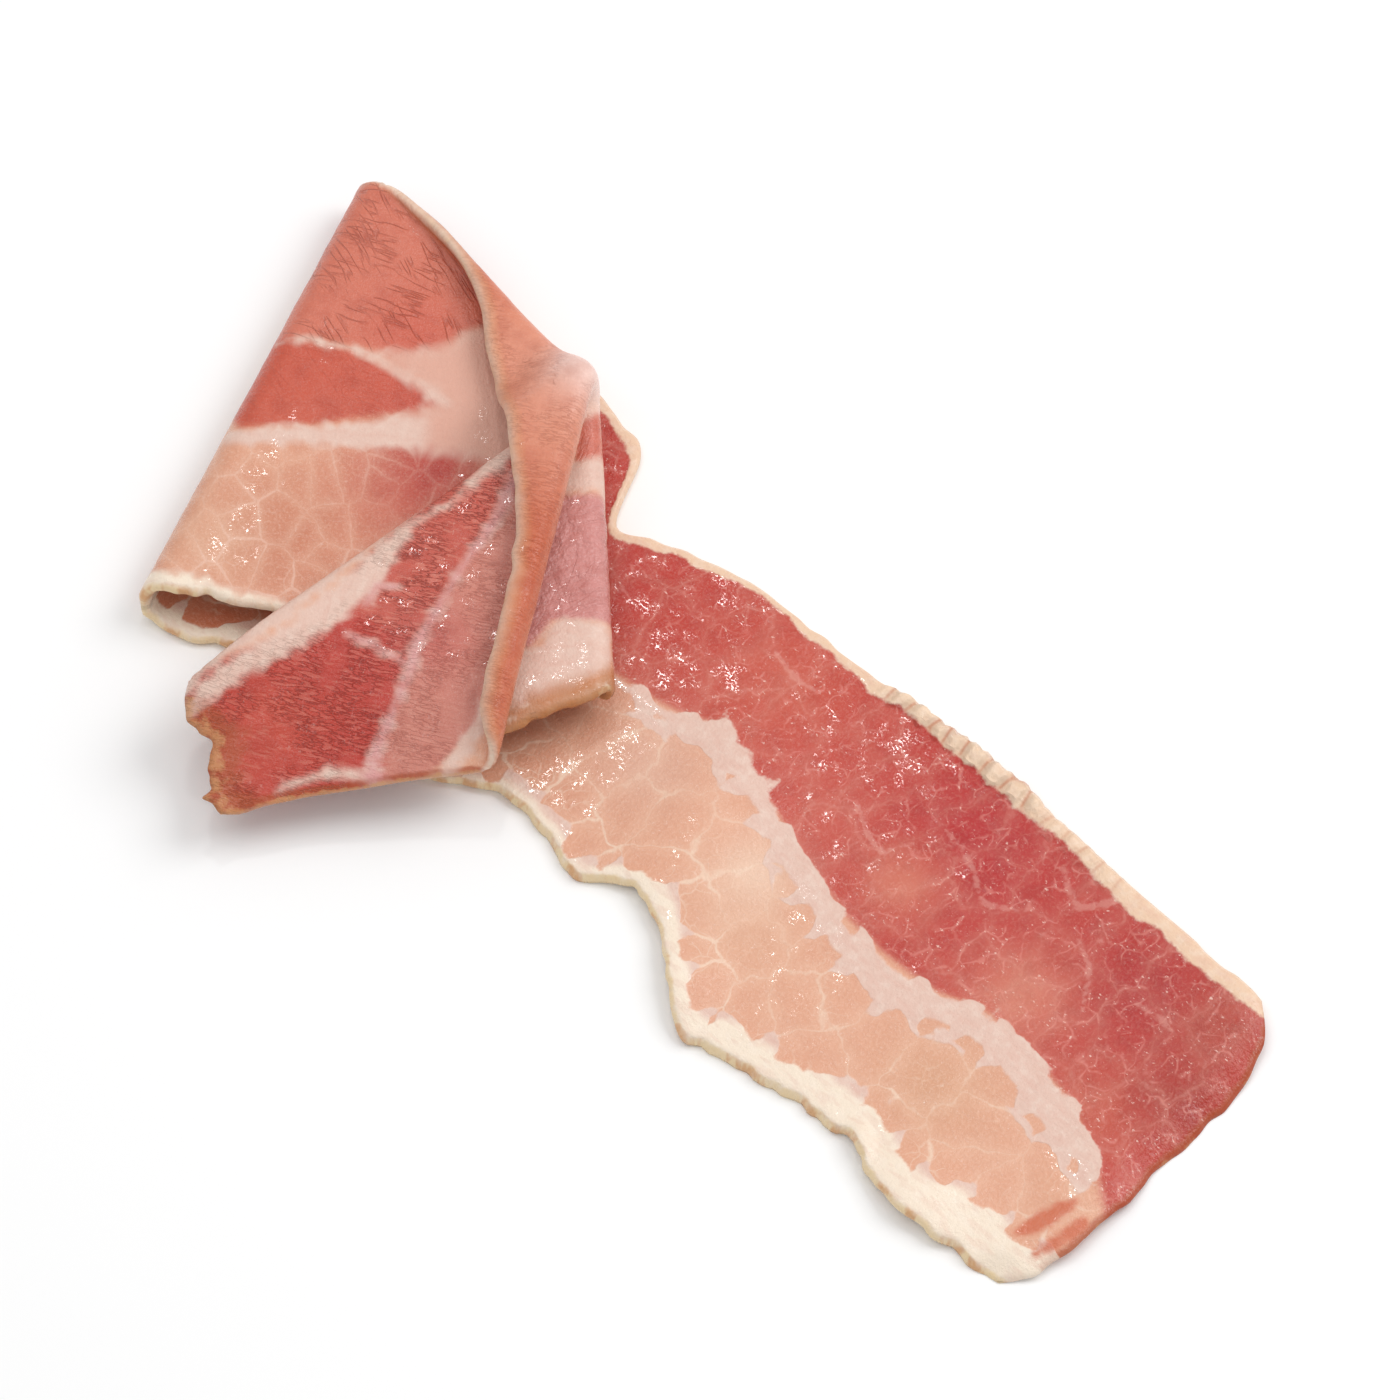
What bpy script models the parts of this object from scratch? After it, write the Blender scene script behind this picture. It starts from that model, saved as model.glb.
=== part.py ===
import math

import bmesh
import bpy
import numpy as np

# Sizes. The outline is laid out in plan millimetres, read at the photo's
# apparent size, and brought to real size by SCALE. The sheet thickness,
# the loop and the gaps between layers are real millimetres.
SCALE = 0.96
MM = 0.001
THICK = 1.45 / SCALE
GAP = 3.15 / SCALE
LOOP = 2.9 / SCALE
SOFT = 1.3
CENTRE = (269.2, -49.2)

# Cells along the folded half, along the tail half and across the rasher,
# and the extra rows laid beside each crease
CELLS_FOLDED = 44
CELLS_TAIL = 32
CELLS_ACROSS = 20
BESIDE = (-2.4, -1.25, -0.4, 0.4, 1.25, 2.4)

# The first fold: the folded half rolls over this line and lies back on
# top, underside up
FOLD_TOP = np.array([184.3, -9.9])
FOLD_BOTTOM = np.array([209.8, -72.5])
ALONG = (FOLD_BOTTOM - FOLD_TOP) / np.linalg.norm(FOLD_BOTTOM - FOLD_TOP)
ACROSS = np.array([-ALONG[1], ALONG[0]])

# The pleat: four creases meet at the tip. Angles are in degrees around it,
# in the plane of the turned-over half.
TIP = np.array([230.0, -12.3])
BACK = 175.0
RIGHT = 47.0
LEFT = 10.0
BELLY = -42.0

# Outline of the turned-over half before the pleat, as seen from above
BELLY_TURNED = [(313, -13), (300, -20.5), (288, -27.5), (275, -35.5),
                (260, -43.6), (245, -52.3), (229.4, -60.8), (217, -68.6)]
RIM_TURNED = [(318, 11), (302.0, 16.6), (291.0, 20.0), (283.0, 23.4),
              (275.4, 27.0), (270.4, 29.4), (266, 29.8), (262, 27.6),
              (254.8, 19.8), (245.2, 11.2), (230.9, 2.6), (219, -2.6),
              (208.4, -7.2), (196, -9.0), (190, -9.5)]
NOSE_TURNED = [(284, -29.7), (289.0, -24), (291, -12.3), (297.0, -0.5),
               (297.8, 2.4), (298.6, 6.0), (299.0, 9.0), (301.6, 12.0),
               (302.0, 16.6)]

# Outline of the tail half, which lies on the table
BELLY_TAIL = [(217.1, -72.1), (225.9, -67.4), (240, -66.0), (253.7, -64.5),
              (262.5, -59.8), (269, -60.2), (275.6, -61.7), (281.9, -58.4),
              (287, -59.8), (292.9, -63.4), (298.1, -67.1), (310.6, -66.1),
              (325, -63.9), (328.7, -65.2), (335.4, -66.4), (342.6, -65.6),
              (349, -64.6), (356, -63.2)]
RIM_TAIL = [(190, -10.6), (205, -9.6), (220, -10.2), (233, -11.6),
            (238.6, -14.0), (240.6, -18.5), (243.2, -22.6), (248, -20.8),
            (258.3, -17.3), (269, -16.0), (280.7, -15.4), (294, -14.7),
            (308.2, -14.5), (322, -14.9), (336, -15.0), (348.5, -15.2),
            (356, -16.0)]
TAIL_END = [(0.0, 350.6), (0.04, 352.6), (0.1, 353.4), (0.28, 354.2),
            (0.5, 353.6), (0.7, 353.8), (0.86, 352.6), (0.95, 350.4),
            (1.0, 347.2)]


def curve(points, x):
    """Smooth line through a list of (x, y) points."""
    xs = np.array([a for a, b in points], float)
    ys = np.array([b for a, b in points], float)
    slope = np.gradient(ys, xs)
    x = np.clip(x, xs[0], xs[-1])
    i = np.clip(np.searchsorted(xs, x) - 1, 0, len(xs) - 2)
    h = xs[i + 1] - xs[i]
    t = (x - xs[i]) / h
    rise = ys[i + 1] - ys[i]
    return (ys[i] + rise * (3 * t**2 - 2 * t**3)
            + h * slope[i] * (t**3 - 2 * t**2 + t)
            + h * slope[i + 1] * (t**3 - t**2))


def smooth(t):
    t = np.clip(t, 0.0, 1.0)
    return t * t * (3.0 - 2.0 * t)


def unturn(points):
    """Places of turned-over points in the flat sheet."""
    p = np.array(points, float) - FOLD_TOP
    u = (2.0 - math.pi) * LOOP - p @ ACROSS
    flat = FOLD_TOP + u[:, None] * ACROSS + (p @ ALONG)[:, None] * ALONG
    return [tuple(q) for q in flat]


BELLY_EDGE = unturn(BELLY_TURNED) + BELLY_TAIL
RIM_EDGE = unturn(RIM_TURNED) + RIM_TAIL


def nose_end():
    rows = []
    for x, y in unturn(NOSE_TURNED):
        low = float(curve(BELLY_EDGE, x))
        high = float(curve(RIM_EDGE, x))
        rows.append((min(max((y - low) / (high - low), 0.0), 1.0), x))
    rows[0] = (0.0, rows[0][1])
    rows[-1] = (1.0, rows[-1][1])
    return rows


NOSE_END = nose_end()
LOOP_AT = 196.0


def sheet(p, q):
    """Flat sheet point: p runs from nose to tail, q from belly to rim."""
    start = curve(NOSE_END, q)
    end = curve(TAIL_END, q)
    middle = LOOP_AT - 14.0 * (q - 0.5)
    x = np.where(p < 0.5, start + (middle - start) * p * 2.0,
                 middle + (end - middle) * (p * 2.0 - 1.0))
    low = curve(BELLY_EDGE, x)
    high = curve(RIM_EDGE, x)
    return np.stack([x, low + q * (high - low)], axis=-1)


def pleat(p):
    """Sharp pleat: folded place and layer of a turned-over point."""
    v = p - TIP
    r = np.hypot(v[..., 0], v[..., 1])
    a = np.degrees(np.arctan2(v[..., 1], v[..., 0]))
    left = 2.0 * BELLY - LEFT
    right = left + RIGHT - LEFT
    b = np.where((a > BELLY) & (a <= LEFT), 2.0 * BELLY - a, a)
    b = np.where((a > LEFT) & (a <= RIGHT), left + a - LEFT, b)
    b = np.radians(np.where((a > RIGHT) & (a <= BACK), right - a + RIGHT, b))
    place = TIP + r[..., None] * np.stack([np.cos(b), np.sin(b)], -1)

    def beyond(angle):
        return r * np.sin(np.radians(np.clip(a - angle, -90.0, 90.0)))

    near = np.exp(-(r / 8.0) ** 2)
    past = r * np.sin(np.radians(np.clip(a - 2.0 * RIGHT + LEFT, 0.0, 90.0)))
    floor = 0.9 * near
    under = 1.0 + 0.6 * near
    nose = 2.0 + 0.3 * near
    top = 3.0 - 1.9 * smooth(past / 9.0)
    layer = floor + (under - floor) * smooth(0.5 + beyond(BELLY) / 0.8)
    layer = layer + (nose - under) * smooth(0.5 + beyond(LEFT) / 0.8)
    layer = layer + (top - nose) * smooth(0.5 + beyond(RIGHT) / 0.8)
    layer = layer + (floor - top) * smooth(0.5 + beyond(BACK) / 0.8)
    return place, layer


def discs():
    """Offsets and weights that round the creases."""
    spots = [(0.0, 0.0, 1.0)]
    for ring in range(1, 10):
        r = ring * 0.3
        for k in range(ring * 6):
            a = math.tau * (k + 0.5 * (ring % 2)) / (ring * 6)
            w = math.exp(-0.5 * r * r)
            spots.append((r * math.cos(a), r * math.sin(a), w))
    total = sum(s[2] for s in spots)
    return [(x * SOFT, y * SOFT, w / total) for x, y, w in spots]


def soft_pleat(p):
    """The pleat with its creases rounded."""
    place, layer = pleat(p)
    v = p - TIP
    near = np.zeros(len(p), bool)
    for angle in (BELLY, LEFT, RIGHT, BACK):
        d = np.array([math.cos(math.radians(angle)),
                      math.sin(math.radians(angle))])
        aside = np.abs(v[:, 0] * d[1] - v[:, 1] * d[0])
        near |= (aside < 4.0 * SOFT) & (v @ d > -4.0 * SOFT)
    place[near] = 0.0
    layer[near] = 0.0
    for dx, dy, weight in discs():
        a, b = pleat(p[near] + np.array([dx, dy]))
        place[near] += weight * a
        layer[near] += weight * b
    return place, layer


def base(p):
    """Height of the turned-over layer above the table layer."""
    u = (p - FOLD_TOP) @ ACROSS
    rise = 2.0 * LOOP - GAP * 1.02
    lift = rise * (1.0 - smooth((u - LOOP) / 30.0))
    past = (p[..., 0] - 210.0) * 0.5 - (p[..., 1] + 72.5) * 0.866
    return GAP * 1.02 + lift - 5.2 * smooth((past - 3.0) / 27.0)


def ripple(p):
    """Gentle lifts of the tail, level with the table in between."""
    x, y = p[..., 0], p[..., 1]
    free = smooth((x - 268.0) / 16.0)
    a = np.sin((x + 0.5 * y) / 12.5) * np.sin((y + 20.0) / 17.0 + x / 90.0)
    rim = smooth((y + 30.0) / 16.0) * smooth((x - 280.0) / 30.0)
    belly = smooth((-54.0 - y) / 12.0)
    lift = 2.1 * np.maximum(a - 0.25, 0.0) ** 1.5 + 0.9 * rim
    lift = lift + 1.3 * belly * np.maximum(np.sin(x / 6.6 + 1.0), 0.0) ** 2
    return lift * free


def shape(p):
    """Middle surface of the rasher in plan millimetres."""
    u = (p - FOLD_TOP) @ ACROSS
    v = (p - FOLD_TOP) @ ALONG
    out = np.zeros(p.shape[:-1] + (3,))
    out[..., :2] = p
    out[..., 2] = ripple(p)

    turn = np.clip((LOOP - u) / LOOP, 0.0, math.pi)
    roll = (u < LOOP) & (u >= LOOP - math.pi * LOOP)
    w = LOOP - LOOP * np.sin(turn)
    q = FOLD_TOP + w[..., None] * ACROSS + v[..., None] * ALONG
    out[roll, :2] = q[roll]
    out[roll, 2] = (LOOP - LOOP * np.cos(turn))[roll]

    over = u < LOOP - math.pi * LOOP
    w = (2.0 - math.pi) * LOOP - u
    q = (FOLD_TOP + w[..., None] * ACROSS + v[..., None] * ALONG)[over]
    place, layer = soft_pleat(q)
    out[over, :2] = place
    out[over, 2] = base(place) + GAP * layer
    out[..., 2] += THICK / 2.0
    return out


def skins(flat):
    """Upper and lower skin points of flat sheet points, in metres."""
    h = 0.15
    dx = shape(flat + np.array([h, 0.0])) - shape(flat - np.array([h, 0.0]))
    dy = shape(flat + np.array([0.0, h])) - shape(flat - np.array([0.0, h]))
    n = np.cross(dx, dy)
    n /= np.linalg.norm(n, axis=-1, keepdims=True)
    mid = shape(flat)
    mid[:, :2] -= np.array(CENTRE)
    upper = mid + 0.5 * THICK * n
    lower = mid - 0.5 * THICK * n
    lower[:, 2] = np.where(lower[:, 2] < 0.02, 0.0, lower[:, 2])
    return upper * SCALE * MM, lower * SCALE * MM


def cut(bm, at, along, offsets, whole):
    """Rows of edges beside a crease that starts at a point."""
    side = np.array([-along[1], along[0]])
    for d in offsets:
        faces = []
        for f in bm.faces:
            c = np.array(f.calc_center_median()[:2]) - at
            u = (c + at - FOLD_TOP) @ ACROSS
            if whole or (u < -4.0 and c @ along > -3.5
                         and abs(c @ side - d) < 5.0):
                faces.append(f)
        around = {e for f in faces for e in f.edges}
        corners = {v for f in faces for v in f.verts}
        bmesh.ops.bisect_plane(
            bm, geom=faces + sorted(around, key=lambda e: e.index)
            + sorted(corners, key=lambda v: v.index), dist=0.02,
            plane_co=(*(at + d * side), 0.0), plane_no=(*side, 0.0))
        bm.verts.index_update()
        bm.edges.index_update()


def flat_sheet():
    """The rasher laid out flat, with rows of edges along its folds."""
    bm = bmesh.new()
    cells = CELLS_FOLDED + CELLS_TAIL
    bmesh.ops.create_grid(bm, x_segments=cells, y_segments=CELLS_ACROSS,
                          size=0.5)
    row = np.array([round((v.co.x + 0.5) * cells) for v in bm.verts])
    q = np.array([v.co.y + 0.5 for v in bm.verts])
    p = np.where(row < CELLS_FOLDED, row / CELLS_FOLDED / 2.0,
                 0.5 + (row - CELLS_FOLDED) / CELLS_TAIL / 2.0)
    for v, (x, y) in zip(bm.verts, sheet(p, q)):
        v.co = (x, y, 0.0)
    rows = [LOOP - LOOP * math.pi * k / 7.0 for k in range(8)]
    cut(bm, FOLD_TOP, ALONG, rows, True)
    tip = np.array(unturn([TIP])[0])
    for angle in (BELLY, LEFT, RIGHT, BACK):
        a = math.radians(angle)
        ray = TIP + 10.0 * np.array([math.cos(a), math.sin(a)])
        along = (np.array(unturn([ray])[0]) - tip) / 10.0
        cut(bm, tip, along, BESIDE, False)
    inside = [v for v in bm.verts if not v.is_boundary]
    bmesh.ops.remove_doubles(bm, verts=inside, dist=0.3)
    bmesh.ops.triangulate(bm, faces=bm.faces[:])
    mesh = bpy.data.meshes.new("sheet")
    bm.to_mesh(mesh)
    bm.free()
    return mesh


def material(name, color, roughness):
    mat = bpy.data.materials.new(name)
    mat.use_nodes = True
    node = mat.node_tree.nodes["Principled BSDF"]
    node.inputs["Base Color"].default_value = (*color, 1.0)
    node.inputs["Roughness"].default_value = roughness
    return mat


def build():
    for item in list(bpy.data.objects):
        bpy.data.objects.remove(item, do_unlink=True)
    group = bpy.data.collections.new("bacon")
    bpy.context.scene.collection.children.link(group)

    flat = flat_sheet()
    count = len(flat.vertices)
    faces = len(flat.polygons)
    points = np.array([v.co[:2] for v in flat.vertices], float)
    upper, lower = skins(points)
    bm = bmesh.new()
    bm.from_mesh(flat)
    bm.from_mesh(flat)
    bm.verts.ensure_lookup_table()
    bm.faces.ensure_lookup_table()
    for k in range(count):
        bm.verts[k].co = upper[k]
        bm.verts[k + count].co = lower[k]
    bmesh.ops.reverse_faces(bm, faces=bm.faces[faces:])
    rim = [e for e in bm.edges if e.is_boundary]
    bmesh.ops.bridge_loops(bm, edges=rim)
    bmesh.ops.triangulate(bm, faces=bm.faces[:])
    bmesh.ops.recalc_face_normals(bm, faces=bm.faces[:])
    mesh = bpy.data.meshes.new("bacon_rasher")
    bm.to_mesh(mesh)
    bm.free()
    bpy.data.meshes.remove(flat)
    rasher = bpy.data.objects.new("bacon_rasher", mesh)
    mesh.materials.append(material("meat", (0.56, 0.17, 0.13), 0.35))
    group.objects.link(rasher)
    return rasher


RASHER = build()
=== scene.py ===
import math

import bmesh
import bpy
import numpy as np
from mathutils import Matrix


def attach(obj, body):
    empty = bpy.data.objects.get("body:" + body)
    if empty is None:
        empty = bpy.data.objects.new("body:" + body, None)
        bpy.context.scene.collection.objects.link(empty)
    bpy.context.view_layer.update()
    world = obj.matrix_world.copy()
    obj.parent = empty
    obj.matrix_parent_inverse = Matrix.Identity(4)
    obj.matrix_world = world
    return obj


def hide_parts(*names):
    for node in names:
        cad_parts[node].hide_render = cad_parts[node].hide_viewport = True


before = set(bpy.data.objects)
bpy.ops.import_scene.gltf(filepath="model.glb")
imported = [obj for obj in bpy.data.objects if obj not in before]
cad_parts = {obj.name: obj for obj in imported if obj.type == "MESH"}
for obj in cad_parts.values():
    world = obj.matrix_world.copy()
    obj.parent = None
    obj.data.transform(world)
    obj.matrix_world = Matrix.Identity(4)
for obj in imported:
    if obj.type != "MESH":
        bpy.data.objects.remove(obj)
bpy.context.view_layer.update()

# The rasher's own sizes. The outline is in plan millimetres at the photo's
# apparent size, and SCALE brings it to real size.
SCALE = 0.96
MM = 0.001
THICK = 1.45 / SCALE
GAP = 3.15 / SCALE
LOOP = 2.9 / SCALE
LOW_GAP = GAP * 1.02
SOFT = 1.3
CENTRE = np.array([269.2, -49.2])
FAR = 99.0

# Rows of the fine sheet, and how it crowds towards its long edges and ends
ROWS_FOLDED = 205
ROWS_TAIL = 230
ROWS_ACROSS = 96
CROWDING = 0.105
LAST_ROW = 0.004
LOOP_AT = 196.0
LOOP_SLANT = 14.0
EDGE_ROUND = 0.85
NORMAL_STEP = 0.15

# The first fold, and the pleat whose four creases meet at the tip. The
# creases are angles in degrees around the tip.
FOLD_TOP = np.array([184.3, -9.9])
FOLD_BOTTOM = np.array([209.8, -72.5])
ALONG = (FOLD_BOTTOM - FOLD_TOP) / np.linalg.norm(FOLD_BOTTOM - FOLD_TOP)
ACROSS = np.array([-ALONG[1], ALONG[0]])
TIP = np.array([230.0, -12.3])
BACK = 175.0
RIGHT = 47.0
LEFT = 10.0
BELLY = -42.0
LEFT_TURNED = 2.0 * BELLY - LEFT
RIGHT_TURNED = LEFT_TURNED + RIGHT - LEFT
TOP_DROP = 1.9
TOP_DROP_OVER = 9.0

# The photo's pixels for a plan millimetre across and towards the viewer,
# and for a millimetre up; and the layer that each face of the fold is on
PIXELS_ACROSS = 4.8
PIXELS_NEAR = 4.157
PIXELS_UP = 2.4
LAYERS = {"turned": 0.0, "under": 1.0, "nose": 2.0}

# Outline of the turned-over half before the pleat, as seen from above
BELLY_TURNED = [(313, -13), (300, -20.5), (288, -27.5), (275, -35.5),
    (260, -43.6), (245, -52.3), (229.4, -60.8), (217, -68.6)]
RIM_TURNED = [(318, 11), (302, 16.6), (291, 20), (283, 23.4),
    (275.4, 27), (270.4, 29.4), (266, 29.8), (262, 27.6), (254.8, 19.8),
    (245.2, 11.2), (230.9, 2.6), (219, -2.6), (208.4, -7.2), (196, -9),
    (190, -9.5)]
NOSE_TURNED = [(284, -29.7), (289, -24), (291, -12.3), (297, -0.5),
    (297.8, 2.4), (298.6, 6), (299, 9), (301.6, 12), (302, 16.6)]

# Outline of the tail half, which lies on the table
BELLY_TAIL = [(217.1, -72.1), (225.9, -67.4), (240, -66), (253.7, -64.5),
    (262.5, -59.8), (269, -60.2), (275.6, -61.7), (281.9, -58.4), (287, -59.8),
    (292.9, -63.4), (298.1, -67.1), (310.6, -66.1), (325, -63.9),
    (328.7, -65.2), (335.4, -66.4), (342.6, -65.6), (349, -64.6), (356, -63.2)]
RIM_TAIL = [(190, -10.6), (205, -9.6), (220, -10.2), (233, -11.6),
    (238.6, -14), (240.6, -18.5), (243.2, -22.6), (248, -20.8),
    (258.3, -17.3), (269, -16), (280.7, -15.4), (294, -14.7), (308.2, -14.5),
    (322, -14.9), (336, -15), (348.5, -15.2), (356, -16)]
TAIL_END = [(0, 350.6), (0.04, 352.6), (0.1, 353.4), (0.28, 354.2),
    (0.5, 353.6), (0.7, 353.8), (0.86, 352.6), (0.95, 350.4), (1, 347.2)]

# The lists below say where the photo shows each fat and muscle: across and
# down in its pixels, and for a streak also the half width in millimetres.

# The band of fat along the tail with its spurs, the red lean above it, and
# the orange streaks at the cut end, a painted glow of light through the thin meat
BAND = [(726, 858, 0.5), (735, 865, 0.7), (753, 877, 1.1), (772, 890, 1),
    (791, 901, 1.6), (809, 907, 2.4), (820, 922, 1.9), (832, 941, 1.8),
    (845, 964, 1.5), (856, 987, 1.7), (868, 1006, 1.5), (883, 1027, 2.1),
    (899, 1042, 2.4), (915, 1057, 2.7), (933, 1064, 2.4), (954, 1071, 2.2),
    (973, 1084, 2.4), (988, 1102, 2.7), (1002, 1121, 2.7), (1014, 1138, 2.4),
    (1023, 1153, 1.5), (1026, 1166, 0.6)]
SPUR_ONE = [(814, 902, 1), (817, 892, 0.4)]
SPUR_TWO = [(833, 945, 1.1), (845, 935, 0.4)]
SPUR_THREE = [(883, 1025, 1.2), (890, 1017, 0.4)]
SPUR_FOUR = [(964, 1073, 1.4), (972, 1067, 0.4)]
RED_TAIL = [(726, 849), (736, 861), (753, 872), (772, 885), (791, 895),
    (814, 902), (826, 933), (845, 952), (860, 979), (883, 1010), (906, 1033),
    (937, 1056), (967, 1067), (990, 1090), (1017, 1121), (1029, 1163),
    (1032, 1186), (1071, 1163), (1143, 1086), (1078, 1002), (983, 925),
    (925, 880), (830, 803), (800, 780), (790, 660), (690, 620), (590, 530),
    (565, 590), (600, 700), (640, 800), (690, 840)]
END_GLOW = [(982, 1191, 0.2), (992, 1187, 0.8), (1004, 1181, 0.7), (1014, 1176, 0.2)]
END_GLOW_LOW = [(992, 1203, 0.1), (1004, 1197, 0.3), (1018, 1187, 0.5)]

# Thin seams in the red lean
SEAM_RIM = [(1059, 1001, 0.5), (1040, 1007, 0.3), (1023, 1009, 0.3),
    (1017, 1000, 0.25), (1015, 987, 0.15)]
SEAM_A = [(893, 948, 0.12), (898, 964, 0.2), (906, 976, 0.12), (925, 971, 0.1)]
SEAM_B = [(943, 960, 0.1), (954, 973, 0.22), (962, 989, 0.2),
    (967, 1006, 0.22), (986, 1010, 0.16)]
SEAM_C = [(1055, 1064, 0.14), (1069, 1072, 0.25), (1076, 1080, 0.12)]
SEAM_D = [(845, 857, 0.1), (856, 872, 0.16), (868, 880, 0.1)]
SEAM_E = [(1021, 1025, 0.12), (1028, 1044, 0.14), (1023, 1067, 0.1)]

# The turned-over half
SEAM_TOP = [(540, 664, 0.5), (562, 665, 0.45), (585, 670, 0.5),
    (603, 676, 0.7), (619, 685, 1.1), (633, 693, 1.6), (644, 703, 2)]
BAND_LOW = [(515, 726, 1.2), (534, 725, 1.35), (557, 724, 1.5),
    (579, 724, 1.6), (602, 723, 2.2), (624, 722, 2.8), (647, 723, 3.2)]
FAT_Y = [(607, 672), (630, 670), (647, 664), (658, 658), (673, 654),
    (683, 664), (689, 697), (689, 725), (675, 745), (662, 738), (647, 737),
    (630, 735), (630, 707), (645, 704), (633, 694), (619, 686), (606, 679)]
WEDGE = [(534, 658), (562, 666), (585, 671), (607, 682), (630, 694),
    (644, 704), (630, 708), (607, 711), (585, 714), (562, 718), (520, 720),
    (513, 709)]
TOP_LEAN = [(571, 557), (534, 658), (543, 664), (562, 665), (585, 669),
    (607, 672), (630, 670), (647, 664), (658, 658), (675, 654), (669, 633),
    (652, 599), (633, 577), (596, 562)]

# The face of the nose
FOLD_FAT = [(686, 720, 2.6), (675, 741, 1.6), (659, 758, 0.5), (647, 769, 0.3),
    (625, 781, 0.8), (611, 798, 1.5), (597, 815, 2.2), (580, 830, 2.3),
    (563, 843, 1.9), (546, 854, 1.7), (529, 863, 1.6), (512, 875, 1.3),
    (498, 888, 1.2), (487, 896, 1.2)]
CREASE_FAT = [(672, 734), (652, 752), (633, 768), (612, 787), (590, 808),
    (573, 822), (556, 836), (540, 846), (525, 856), (509, 868), (496, 884),
    (484, 897), (460, 896), (480, 846), (560, 786), (630, 716), (660, 690)]
SEAM_NOSE = [(689, 752, 1.2), (675, 779, 0.8), (663, 797, 0.7),
    (652, 814, 0.6), (641, 835, 0.75), (631, 852, 0.9), (628, 867, 0.8),
    (620, 887, 0.7), (609, 912, 0.9), (606, 929, 1.3), (619, 940, 0.8)]
SEAM_BRANCH = [(590, 847, 0.7), (604, 852, 0.5), (619, 861, 0.4), (628, 866, 0.4)]
SEAM_SMALL = [(617, 818, 0.6), (607, 818, 0.5), (600, 829, 0.4)]
NOSE_RIM = [(550, 940, 0.5), (562, 933, 0.6), (582, 928, 0.8), (602, 929, 1.1),
    (619, 941, 1), (635, 939, 1), (652, 926, 1.1), (666, 907, 1.1),
    (678, 881, 0.9), (685, 855, 0.7)]
MUSCLE_ONE = [(675, 748), (663, 756), (630, 790), (607, 818), (596, 845),
    (627, 863), (644, 827), (663, 793), (678, 770)]
MUSCLE_TWO = [(492, 894), (515, 878), (562, 863), (592, 849), (626, 866),
    (617, 888), (603, 925), (582, 928), (548, 942), (517, 964), (495, 956),
    (487, 905)]
LOBE = [(694, 759), (689, 821), (683, 863), (669, 900), (649, 922), (630, 936),
    (614, 936), (610, 919), (624, 881), (633, 855), (652, 817), (675, 784)]

# The layer under the pleat, which shows beside it
G_RED = [(722, 722), (746, 708), (750, 736), (724, 744)]
G_WHITE = [(711, 762), (715, 749), (727, 739), (741, 734), (748, 742),
    (745, 762), (731, 758), (720, 762)]
G_MAUVE = [(697, 765), (714, 762), (748, 759), (748, 838), (711, 838),
    (697, 855), (689, 849)]
G_FAT = [(692, 856), (703, 852), (713, 838), (725, 836), (745, 838),
    (744, 866), (731, 877), (692, 894), (675, 897), (675, 877)]

# Width of the cream border along the belly and along the rim, by the
# place along the flat rasher
BELLY_FAT_AT = [70, 96, 110, 125, 160, 185, 196, 215, 240, 254, 262, 275, 282,
    290, 297, 305, 315, 325, 335, 345, 354]
BELLY_FAT_WIDE = [0.8, 1.2, 1.4, 1.6, 1.5, 1.5, 1.8, 3, 1.4, 1, 1.8, 2,
    2.4, 3, 4, 4.6, 5, 5.6, 6, 6.4, 6]
RIM_FAT_AT = [70, 96, 150, 190, 205, 236, 243, 262, 276, 284, 296, 306, 314,
    322, 330, 338, 346, 354]
RIM_FAT_WIDE = [0.3, 0.4, 0.3, 0.4, 1.4, 2.2, 2, 1.7, 1.8, 2.6, 3.4, 3,
    2.4, 2.5, 3, 3.2, 2.6, 0.6]

# Screen colours of the meat
PEACH = (224, 164, 134)
RED = (189, 56, 43)
TOP_RED = (210, 115, 92)
WEDGE_RED = (200, 84, 60)
SALMON = (221, 142, 114)
SALMON_LOW = (194, 90, 52)
SALMON_RIM = (208, 142, 92)
# Painted highlight on the raised tip of the pleat
TIP_HIGHLIGHT = (242, 212, 202)
UNDER_RED = (208, 112, 92)
MAUVE = (208, 138, 132)
NET_PALE = (244, 206, 180)
WEB_PINK = (232, 152, 138)
GRAIN_DARK = (120, 32, 24)
WRINKLE_DARK = (146, 58, 44)
# Painted highlight: the colour of the small glints laid into the lean
PAINTED_GLINT = (248, 218, 204)
NET_ON_RED = (222, 146, 130)
NET_ON_PEACH = (240, 210, 186)
NET_ON_FOLD = (234, 186, 168)
SEAM_PINK = (226, 164, 150)

# What the dark spots of the lean are multiplied by
DARKER = (0.76, 0.58, 0.54)

# Screen colours of the fat, the rind and the dry ends
FAT = (226, 190, 174)
FAT_SEAM = (216, 152, 148)
FAT_CREAM = (244, 226, 205)
FAT_FORK = (222, 168, 148)
FAT_RIM = (234, 198, 168)
FAT_WHITE = (246, 232, 218)
FAT_PINK = (216, 160, 142)
# Painted shade in the folds between the rim's beads
BEAD_FOLD_SHADE = (190, 118, 84)
BEAD_TOP = (246, 222, 194)
RIND = (240, 212, 164)
RIND_SPOT = (216, 158, 98)
RIND_TAN = (186, 114, 62)
DRY = (172, 78, 40)
DRY_EDGE = (208, 150, 100)
GLOW = (204, 98, 60)
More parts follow.
